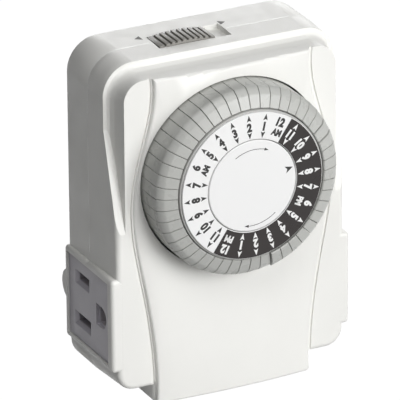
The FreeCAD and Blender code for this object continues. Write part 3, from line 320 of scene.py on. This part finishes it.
# Colours and roughness of each slot, the grain in microns and the share that the mottle darkens
MATERIALS = {
    "case_white": moulded("case plastic", (0.915, 0.912, 0.880), 0.42, grain=4.0, variation=0.02),
    "insert_grey": moulded("outlet plastic", (0.600, 0.582, 0.632), 0.42, variation=0.04),
    "tab_grey": moulded("tab plastic", (0.530, 0.535, 0.510), 0.29, grain=3.0, variation=0.05),
    "drum_grey": moulded("drum plastic", (0.50, 0.50, 0.485), 0.4, variation=0.05),
    "disc_white": moulded("disc plastic", (0.90, 0.90, 0.897), 0.36, grain=1.0, variation=0.004),
    "knob_grey": moulded("slider plastic", (0.290, 0.280, 0.258), 0.42, variation=0.08),
    "natural_plastic": moulded("natural nylon", (0.72, 0.69, 0.58), 0.45, variation=0.06),
    "gear_plastic": moulded("acetal", (0.80, 0.79, 0.74), 0.35),
    "steel": metal("plated steel", (0.58, 0.58, 0.57), 0.34, (1.0, 6.0, 1.0)),
    "plate_steel": metal("stamped plate", (0.55, 0.55, 0.55), 0.38, (8.0, 1.0, 1.0)),
    "can_zinc": metal("drawn can", (0.62, 0.62, 0.63), 0.36, (1.0, 9.0, 1.0)),
    "magnet": moulded("ferrite", (0.05, 0.05, 0.052), 0.5, grain=10.0, variation=0.2),
    "copper_wire": wound("copper winding", (0.62, 0.27, 0.12)),
    "lead_insulation": moulded("lead insulation", (0.03, 0.03, 0.03), 0.45, variation=0.2),
    "brass": metal("brass", (0.78, 0.58, 0.27), 0.27, (1.0, 7.0, 1.0)),
    "spring_bronze": metal("spring bronze", (0.66, 0.40, 0.22), 0.3, (1.0, 1.0, 8.0)),
    "contact_silver": metal("contact alloy", (0.80, 0.79, 0.76), 0.22, (1.0, 1.0, 1.0)),
}
WHITE_PRINT = moulded("dial white", (0.91, 0.91, 0.905), 0.36, grain=1.5, variation=0.005)
BLACK_PRINT = moulded("dial black", (0.017, 0.012, 0.011), 0.32, grain=1.5, variation=0.15)
DARK_INK = moulded("dark ink", (0.030, 0.029, 0.028), 0.4, grain=1.0, variation=0.12)
WHITE_INK = moulded("white ink", (0.90, 0.90, 0.89), 0.4, grain=1.0)
# The seam lip is modelled, and its white, lighter than the case plastic, is a painted highlight
# along the seam
SEAM_HIGHLIGHT_WHITE = moulded("seam plastic painted highlight", (0.95, 0.95, 0.93), 0.3, grain=1.0, variation=0.01)
GREY_INK = moulded("grey ink", (0.095, 0.092, 0.085), 0.5, grain=1.0, variation=0.12)


def slot_of(node):
    for part in frame["record"]["subparts"]:
        if part["node"] == node:
            return part["material_slot"]
    return None


def paint(piece, material):
    piece.data.materials.clear()
    piece.data.materials.append(material)


# The slot of the printed ring has no entry of its own
for node_name, node_object in NODES.items():
    finish = MATERIALS.get(slot_of(node_name), WHITE_PRINT)
    for place in node_object.material_slots:
        place.material = finish


# ---------------------------------------------------------------- mesh helpers
def at(x, y, z):
    """A point from the dial's middle on its printed side, given back in metres."""
    return Vector((DIAL_X + x, PRINT_Y + y, DIAL_Z + z)) * MM


def dial_point(radius, degrees, y):
    """A point from a radius, an angle counter-clockwise from +X seen from the front, and a depth
    behind the printed side."""
    a = math.radians(degrees)
    return at(radius * math.cos(a), y, radius * math.sin(a))


def loft(bm, rings):
    """A closed solid through rings of points, with a cap at each end."""
    loops = [[bm.verts.new(point) for point in ring] for ring in rings]
    for near, far in zip(loops, loops[1:]):
        for i in range(len(near)):
            j = (i + 1) % len(near)
            bm.faces.new((near[i], near[j], far[j], far[i]))
    bm.faces.new(loops[0])
    bm.faces.new(list(reversed(loops[-1])))


def mesh_of(bm, name, smooth_deg=30.0):
    """Ends a bmesh: outward normals, and smooth shading where faces meet at a small angle."""
    bmesh.ops.recalc_face_normals(bm, faces=bm.faces)
    limit = math.radians(smooth_deg)
    for face in bm.faces:
        face.smooth = True
    for edge in bm.edges:
        edge.smooth = len(edge.link_faces) == 2 and edge.calc_face_angle(0.0) < limit
    mesh = bpy.data.meshes.new(name)
    bm.to_mesh(mesh)
    bm.free()
    return mesh


def make_piece(name, mesh, body, material, nodes=()):
    piece = bpy.data.objects.new(name, mesh)
    bpy.context.scene.collection.objects.link(piece)
    paint(piece, material)
    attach(piece, body)
    if nodes:
        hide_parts(*nodes)
    return piece


# ---------------------------------------------------------------- tabs of the dial
def tab_profile():
    """Radius and depth round one tab's section: the wall inside, the face, the chamfer and the
    skirt, with a short face across each corner."""
    slope_r = TAB_OUTER - TAB_CHAMFER
    slope_y = TAB_FACE_Y + TAB_FACE_FALL
    skirt_y = slope_y + TAB_CHAMFER
    ease = TAB_EASE
    return [
        (TAB_INNER, TAB_BACK_Y), (TAB_INNER, TAB_FACE_Y + ease), (TAB_INNER + ease, TAB_FACE_Y),
        (slope_r - ease, slope_y - ease * 0.3), (slope_r + ease * 0.6, slope_y + ease * 0.5),
        (TAB_OUTER - 2 * ease, skirt_y - 2 * ease), (TAB_OUTER - ease * 0.5, skirt_y + ease * 0.4),
        (TAB_OUTER, skirt_y + 2 * ease), (TAB_OUTER, TAB_BACK_Y),
    ]


def tab_angle(index):
    """The middle of a tab, clockwise from +X."""
    return -(index + 0.5) * TAB_PITCH_DEG


def proud_by(index):
    """How far a tab stands out of the ring, as its solid does."""
    place = index if index < TAB_COUNT // 2 else index - TAB_COUNT
    if PROUD_FIRST <= place <= PROUD_LAST:
        return TAB_PROUD
    return TAB_PROUD / 2.0 if place == PROUD_FIRST - 1 else 0.0


def add_tab(bm, index):
    """One tab: a flat face, a chamfer and a skirt, all with eased edges, and a tongue behind."""
    middle, lift, profile = tab_angle(index), proud_by(index), tab_profile()
    inner_share = 1.0 - TAB_EDGE_SHARE
    rings = []
    for share, sink in ((-1.0, TAB_EDGE), (-inner_share, 0.0), (inner_share, 0.0), (1.0, TAB_EDGE)):
        ring = []
        for place, (radius, y) in enumerate(profile):
            half = TAB_PITCH_DEG / 2.0 - math.degrees(TAB_GAP / 2.0 / radius)
            sunk = sink * TAB_EDGE_SLOPE if 0 < place < len(profile) - 1 else 0.0
            r = radius - (sunk if place >= TAB_SKIRT_FROM else 0.0)
            depth = y + (sunk if place < TAB_WALL_FROM else 0.0)
            ring.append(dial_point(r, middle + share * half, depth - lift))
        rings.append(ring)
    loft(bm, rings)
    add_tongue(bm, middle, lift)


def add_tongue(bm, degrees, lift):
    """The thin tongue behind a tab that reaches through the drum's flange."""
    a = math.radians(degrees)
    out = Vector((math.cos(a), 0.0, math.sin(a)))
    across = Vector((-math.sin(a), 0.0, math.cos(a)))
    rings = []
    for y, taper in ((TAB_BACK_Y - TONGUE_OVERLAP, 1.0), (TONGUE_TIP_Y, TONGUE_TAPER)):
        ring = []
        for r, t in ((-1, -1), (1, -1), (1, 1), (-1, 1)):
            point = out * (TONGUE_RADIUS + r * TONGUE_HALF_T * taper)
            point += across * (t * TONGUE_HALF_WIDTH * taper)
            ring.append(at(point.x, y - lift, point.z))
        rings.append(ring)
    loft(bm, rings)


def bank_of(index):
    """The node whose solid covers a tab's place."""
    point = dial_point(TONGUE_RADIUS, tab_angle(index), 0.0) / MM
    for number in range(1, BANK_COUNT + 1):
        low, high = box_mm("tripper_bank_%02d" % number)
        if low.x <= point.x <= high.x and low.z <= point.z <= high.z:
            return number
    raise SystemExit("no bank holds tab %d" % index)


def make_tabs():
    banks = {}
    for index in range(TAB_COUNT):
        banks.setdefault(bank_of(index), []).append(index)
    for number, members in sorted(banks.items()):
        bm = bmesh.new()
        for index in members:
            add_tab(bm, index)
        name = "tripper_tabs_%02d" % number
        make_piece(name, mesh_of(bm, name, 20.0), "bank_%02d" % number,
                   MATERIALS["tab_grey"], ["tripper_bank_%02d" % number])


# ---------------------------------------------------------------- dial print
def ring_mesh(name, inner, outer, front, back, ease=0.12, start=0.0, sweep=360.0, steps=192):
    """A flat ring or disc, or part of a ring, with eased front edges."""
    profile = [(outer - ease, front), (outer, front + ease), (outer, back)]
    if inner > 0:
        profile = [(inner, back), (inner, front + ease), (inner + ease, front)] + profile
    else:
        profile = [(0.0, front)] + profile + [(0.0, back)]
    bm = bmesh.new()
    closed = sweep >= 360.0
    count = steps if closed else steps + 1
    rings = [[bm.verts.new(dial_point(r, start + sweep * k / steps, y)) for r, y in profile]
             for k in range(count)]
    loops = len(profile) if inner > 0 else len(profile) - 1
    for k in range(steps):
        a, b = rings[k], rings[(k + 1) % count]
        for i in range(loops):
            j = (i + 1) % len(profile)
            bm.faces.new((a[i], b[i], b[j], a[j]))
    if not closed:
        bm.faces.new(rings[0])
        bm.faces.new(list(reversed(rings[-1])))
    bmesh.ops.remove_doubles(bm, verts=bm.verts, dist=1e-8)
    return mesh_of(bm, name, 25.0)


def add_flat(bm, outline, y0, y1):
    """A thin printed shape between two depths, from an outline of (x, z) round the dial's axis."""
    loft(bm, [[at(x, y, z) for x, z in outline] for y in (y0, y1)])


def turned(outline, radius, degrees):
    """Moves an outline, drawn about the origin with its top up, out to a radius and turns it so
    that its top points away from the axis at that angle."""
    a = math.radians(degrees)
    spin = math.radians(degrees - 90.0)
    points = []
    for x, z in outline:
        px = x * math.cos(spin) - z * math.sin(spin)
        pz = x * math.sin(spin) + z * math.cos(spin)
        points.append((px + radius * math.cos(a), pz + radius * math.sin(a)))
    return points


def dart(length, half_width, notch):
    """A triangle with a hollow base, its tip at the origin and pointing up."""
    return [(0.0, 0.0), (-half_width, -length), (0.0, -length + notch), (half_width, -length)]


def letter_shapes(text, height, narrow):
    """A text in its own plane, centred on the origin: its points as (x, z), and its faces."""
    curve = bpy.data.curves.new("letters", "FONT")
    curve.body = text
    curve.size = height / CAPITAL_SHARE
    curve.align_x = "CENTER"
    curve.align_y = "CENTER"
    curve.offset = DIGIT_BOLD * height
    curve.resolution_u = LETTER_STEPS
    letters = bpy.data.objects.new("letters", curve)
    bpy.context.scene.collection.objects.link(letters)
    bpy.context.view_layer.update()
    mesh = bpy.data.meshes.new_from_object(letters)
    points = [(v.co.x * narrow, v.co.y) for v in mesh.vertices]
    across = (min(p[0] for p in points) + max(p[0] for p in points)) / 2.0
    middle = (min(p[1] for p in points) + max(p[1] for p in points)) / 2.0
    points = [(x - across, z - middle) for x, z in points]
    faces = [tuple(f.vertices) for f in mesh.polygons]
    bpy.data.objects.remove(letters)
    bpy.data.curves.remove(curve)
    bpy.data.meshes.remove(mesh)
    return points, faces


def add_text(bm, text, height, radius, degrees, y0, y1, narrow=DIGIT_NARROW):
    """Printed characters with their tops away from the dial's axis."""
    points, faces = letter_shapes(text, height, narrow)
    placed = turned(points, radius, degrees)
    front = [bm.verts.new(at(x, y0, z)) for x, z in placed]
    back = [bm.verts.new(at(x, y1, z)) for x, z in placed]
    uses = {}
    for face in faces:
        bm.faces.new([front[i] for i in face])
        bm.faces.new([back[i] for i in reversed(face)])
        for i, j in zip(face, face[1:] + face[:1]):
            uses.setdefault(frozenset((i, j)), []).append((i, j))
    for pairs in uses.values():
        if len(pairs) == 1:
            i, j = pairs[0]
            bm.faces.new((front[j], front[i], back[i], back[j]))


def hour_angle(hour):
    """The angle of an hour, 0 to 23, counter-clockwise from +X seen from the front. The first
    one stands FIRST_HOUR_DEG to the right of the top."""
    return 90.0 - FIRST_HOUR_DEG + HOUR_DEG * hour


def make_dial_print():
    """The white ring, its black half, and numbers with a dart on each side."""
    under = 3 * INK_T
    ring = ring_mesh("dial_ring", DISC_RADIUS + DISC_GAP, FACE_RADIUS, under, FACE_T)
    make_piece("dial_ring", ring, "dial", WHITE_PRINT, ["dial_face"])
    night = ring_mesh("dial_ring_black", DISC_RADIUS + DISC_GAP + NIGHT_INSET,
                      FACE_RADIUS - NIGHT_INSET, 2 * INK_T, under + INK_T, ease=NIGHT_EASE,
                      start=hour_angle(NIGHT_FIRST_HOUR), sweep=180.0, steps=NIGHT_STEPS)
    make_piece("dial_ring_black", night, "dial", BLACK_PRINT)
    tip = dart(DART_LENGTH, DART_HALF_WIDTH, DART_NOTCH)
    inward = [(-x, -z) for x, z in tip]
    halves = (("day", "AM", range(HOURS // 2), DARK_INK, 2 * INK_T, under + INK_T),
              ("night", "PM", range(HOURS // 2, HOURS), WHITE_INK, INK_T, 2.5 * INK_T))
    for half, word, hours, material, y0, y1 in halves:
        bm = bmesh.new()
        for hour in hours:
            angle = hour_angle(hour)
            number = str((hour - 1) % 12 + 1)
            if hour % HOURS_PER_QUARTER == 0:
                add_text(bm, number, DIGIT_HEIGHT, QUARTER_MIDDLE_R, angle, y0, y1)
                add_text(bm, word, WORD_HEIGHT, WORD_MIDDLE_R, angle, y0, y1, WORD_NARROW)
                continue
            add_text(bm, number, DIGIT_HEIGHT, DIGIT_MIDDLE_R, angle, y0, y1)
            add_flat(bm, turned(tip, DART_OUTER_R, angle), y0, y1)
            add_flat(bm, turned(inward, DART_INNER_R, angle), y0, y1)
        name = "dial_numbers_" + half
        make_piece(name, mesh_of(bm, name), "dial", material)


def add_arc_arrow(bm, radius0, radius1, start, end, y0, y1):
    """A thin curved line from one angle to another that ends in a small arrow head."""
    inner, outer = [], []
    for k in range(ARC_STEPS + 1):
        share = k / ARC_STEPS
        a = math.radians(start + (end - start) * share)
        r = radius0 + (radius1 - radius0) * share
        inner.append(((r - ARC_WIDTH / 2) * math.cos(a), (r - ARC_WIDTH / 2) * math.sin(a)))
        outer.append(((r + ARC_WIDTH / 2) * math.cos(a), (r + ARC_WIDTH / 2) * math.sin(a)))
    for k in range(ARC_STEPS):
        add_flat(bm, [inner[k], outer[k], outer[k + 1], inner[k + 1]], y0, y1)
    a = math.radians(end)
    along = Vector((math.sin(a), -math.cos(a))) * (1.0 if end < start else -1.0)
    out = Vector((math.cos(a), math.sin(a)))
    root = out * radius1
    head = [root + out * ARC_HEAD_HALF, root - out * ARC_HEAD_HALF, root + along * ARC_HEAD]
    add_flat(bm, [tuple(p) for p in head], y0, y1)


def make_disc():
    """The fixed centre disc: clockwise arrows and the dart that points at the time."""
    under = 2 * INK_T
    disc = ring_mesh("centre_plate", 0.0, DISC_RADIUS, under, DISC_T, ease=DISC_EASE)
    make_piece("centre_plate", disc, "case", MATERIALS["disc_white"], ["centre_disc"])
    bm = bmesh.new()
    y0, y1 = INK_T, under + INK_T
    for radius0, radius1, start, end in ARCS:
        add_arc_arrow(bm, radius0, radius1, start, end, y0, y1)
    pointer = dart(POINTER_LENGTH, POINTER_HALF_WIDTH, POINTER_NOTCH)
    add_flat(bm, turned(pointer, POINTER_R, POINTER_DEG), y0, y1)
    make_piece("centre_marks", mesh_of(bm, "centre_marks"), "case", DARK_INK)


# ---------------------------------------------------------------- the case's marks and seam
def make_top_marks():
    """A printed triangle at each end of the slider's travel."""
    top = BACK_HIGH.z - DIAL_Z
    bm = bmesh.new()
    for x, side in TOP_MARKS:
        outline = [(x + side * TOP_MARK_LENGTH, 0.0), (x, TOP_MARK_HALF), (x, -TOP_MARK_HALF)]
        loft(bm, [[at(px, TOP_MARK_Y + py, z) for px, py in outline]
                  for z in (top - INK_T, top + INK_T)])
    make_piece("top_marks", mesh_of(bm, "top_marks"), "case", GREY_INK)


def seam_path(side, end_x):
    """Points in X, Z with outward directions, up one side, round the corner and along the top."""
    half = CASE_HALF_WIDTH
    low_z = BACK_HIGH.z - DIAL_Z - SEAM_CORNER
    path = [((side * half, SEAM_STOP_Z), (side, 0.0)), ((side * half, low_z), (side, 0.0))]
    for k in range(1, SEAM_CORNER_STEPS + 1):
        a = math.pi / 2.0 * k / SEAM_CORNER_STEPS
        out = (side * math.cos(a), math.sin(a))
        path.append(((side * (half - SEAM_CORNER) + SEAM_CORNER * out[0],
                      low_z + SEAM_CORNER * out[1]), out))
    path.append(((end_x, low_z + SEAM_CORNER), (0.0, 1.0)))
    return path


def make_seam_lip():
    """The thin proud line where the two halves of the case meet, lighter than the case as a painted
    highlight.
    """
    seam_y = BACK_LOW.y - PRINT_Y
    section = ((-SEAM_HALF_WIDTH, -SEAM_SINK), (-SEAM_HALF_WIDTH / 2.0, SEAM_PROUD),
               (SEAM_HALF_WIDTH / 2.0, SEAM_PROUD), (SEAM_HALF_WIDTH, -SEAM_SINK))
    bm = bmesh.new()
    for side, end_x in ((-1.0, KNOB_LOW.x - DIAL_X - SEAM_KNOB_GAP),
                        (1.0, KNOB_HIGH.x - DIAL_X + SEAM_TROUGH_GAP)):
        loft(bm, [[at(x + out_x * rise, seam_y + dy, z + out_z * rise) for dy, rise in section]
                  for (x, z), (out_x, out_z) in seam_path(side, end_x)])
    make_piece("seam_lip", mesh_of(bm, "seam_lip"), "case", SEAM_HIGHLIGHT_WHITE)


def ease_edges(node, width):
    """Welds and bevels a CAD node with modifiers, so that its edges catch the light."""
    piece = NODES[node]
    weld = piece.modifiers.new("weld", "WELD")
    weld.merge_threshold = EASE_WELD * MM
    bevel = piece.modifiers.new("ease", "BEVEL")
    bevel.width = width * MM
    bevel.segments = EASE_SEGMENTS
    bevel.limit_method = "ANGLE"
    bevel.angle_limit = math.radians(EASE_LIMIT_DEG)
    bevel.harden_normals = False


# ---------------------------------------------------------------- floor, light and camera
def seen_by(tree, first, second):
    """1 for either of two kinds of ray, and 0 for the others."""
    rays = tree.nodes.new("ShaderNodeLightPath")
    seen = tree.nodes.new("ShaderNodeMath")
    seen.operation = "MAXIMUM"
    tree.links.new(rays.outputs[first], seen.inputs[0])
    tree.links.new(rays.outputs[second], seen.inputs[1])
    return seen.outputs[0]


def blend(tree, share, base, over, surface):
    """Mixes a second shader over a first by a share, and sends the mix to a surface."""
    mix = tree.nodes.new("ShaderNodeMixShader")
    tree.links.new(share, mix.inputs["Fac"])
    tree.links.new(base, mix.inputs[1])
    tree.links.new(over, mix.inputs[2])
    tree.links.new(mix.outputs["Shader"], surface)


def make_stage():
    """A floor that holds a soft shadow and reads as white to the camera."""
    bpy.ops.mesh.primitive_plane_add(size=FLOOR_SIZE, location=(0.0, 0.0, 0.0))
    floor = bpy.context.object
    floor.name = "floor"
    material, tree, shader, place = node_tree("floor paper")
    dark, light = ((tone, tone, tone) for tone in FLOOR_TONES)
    grey = ramp(tree, noise(tree, place, FLOOR_NOISE_SCALE, 2.0),
                [(NOISE_LOW, dark), (NOISE_HIGH, light)])
    tree.links.new(grey, shader.inputs["Base Color"])
    shader.inputs["Roughness"].default_value = FLOOR_ROUGHNESS
    paint(floor, material)
    glow = tree.nodes.new("ShaderNodeEmission")
    glow.inputs["Color"].default_value = (1.0, 1.0, 1.0, 1.0)
    glow.inputs["Strength"].default_value = GLOW_STRENGTH
    weight = tree.nodes.new("ShaderNodeMath")
    weight.operation = "MULTIPLY"
    weight.inputs[1].default_value = GLOW_SHARE
    tree.links.new(seen_by(tree, "Is Camera Ray", "Is Glossy Ray"), weight.inputs[0])
    blend(tree, weight.outputs[0], shader.outputs["BSDF"], glow.outputs["Emission"],
          tree.nodes["Material Output"].inputs["Surface"])


def make_world():
    """A faint even fill, and white behind the floor for the camera."""
    world = bpy.data.worlds.new("studio")
    bpy.context.scene.world = world
    world.use_nodes = True
    tree = world.node_tree
    tree.nodes.clear()
    lights = []
    for colour, strength in ((WORLD_TINT, WORLD_FILL), ((1.0, 1.0, 1.0), 1.0)):
        background = tree.nodes.new("ShaderNodeBackground")
        background.inputs["Color"].default_value = (*colour, 1.0)
        background.inputs["Strength"].default_value = strength
        lights.append(background.outputs["Background"])
    out = tree.nodes.new("ShaderNodeOutputWorld")
    blend(tree, seen_by(tree, "Is Camera Ray", "Is Transmission Ray"), *lights,
          out.inputs["Surface"])


def softbox(name, direction, distance, size, power):
    light = bpy.data.lights.new(name, "AREA")
    light.shape = "RECTANGLE"
    light.size, light.size_y = size
    light.energy = power
    lamp = bpy.data.objects.new(name, light)
    bpy.context.scene.collection.objects.link(lamp)
    aim = Vector(direction).normalized()
    lamp.location = Vector(LIGHT_TARGET) + aim * distance
    lamp.rotation_mode = "QUATERNION"
    lamp.rotation_quaternion = aim.to_track_quat("Z", "Y")


def make_camera():
    data = bpy.data.cameras.new("camera")
    data.lens = CAMERA_LENS
    data.sensor_width = CAMERA_SENSOR
    data.sensor_fit = "HORIZONTAL"
    data.clip_start, data.clip_end = CAMERA_CLIP
    camera = bpy.data.objects.new("camera", data)
    bpy.context.scene.collection.objects.link(camera)
    back = Vector(CAMERA_BACK).normalized()
    right = Vector((0.0, 0.0, 1.0)).cross(back).normalized()
    up = back.cross(right)
    turn = Matrix((right, up, back)).transposed()
    roll = Matrix.Rotation(math.radians(CAMERA_ROLL_DEG), 3, "Z")
    camera.matrix_world = Matrix.Translation(CAMERA_AT) @ (turn @ roll).to_4x4()
    bpy.context.scene.camera = camera


make_camera()
make_tabs()
make_dial_print()
make_disc()
make_top_marks()
make_seam_lip()
for eased_name, eased_width in EASED_NODES:
    ease_edges(eased_name, eased_width)
make_stage()
make_world()
for settings in LIGHTS:
    softbox(*settings)

bpy.context.scene.view_settings.view_transform = "Standard"
bpy.context.view_layer.update()
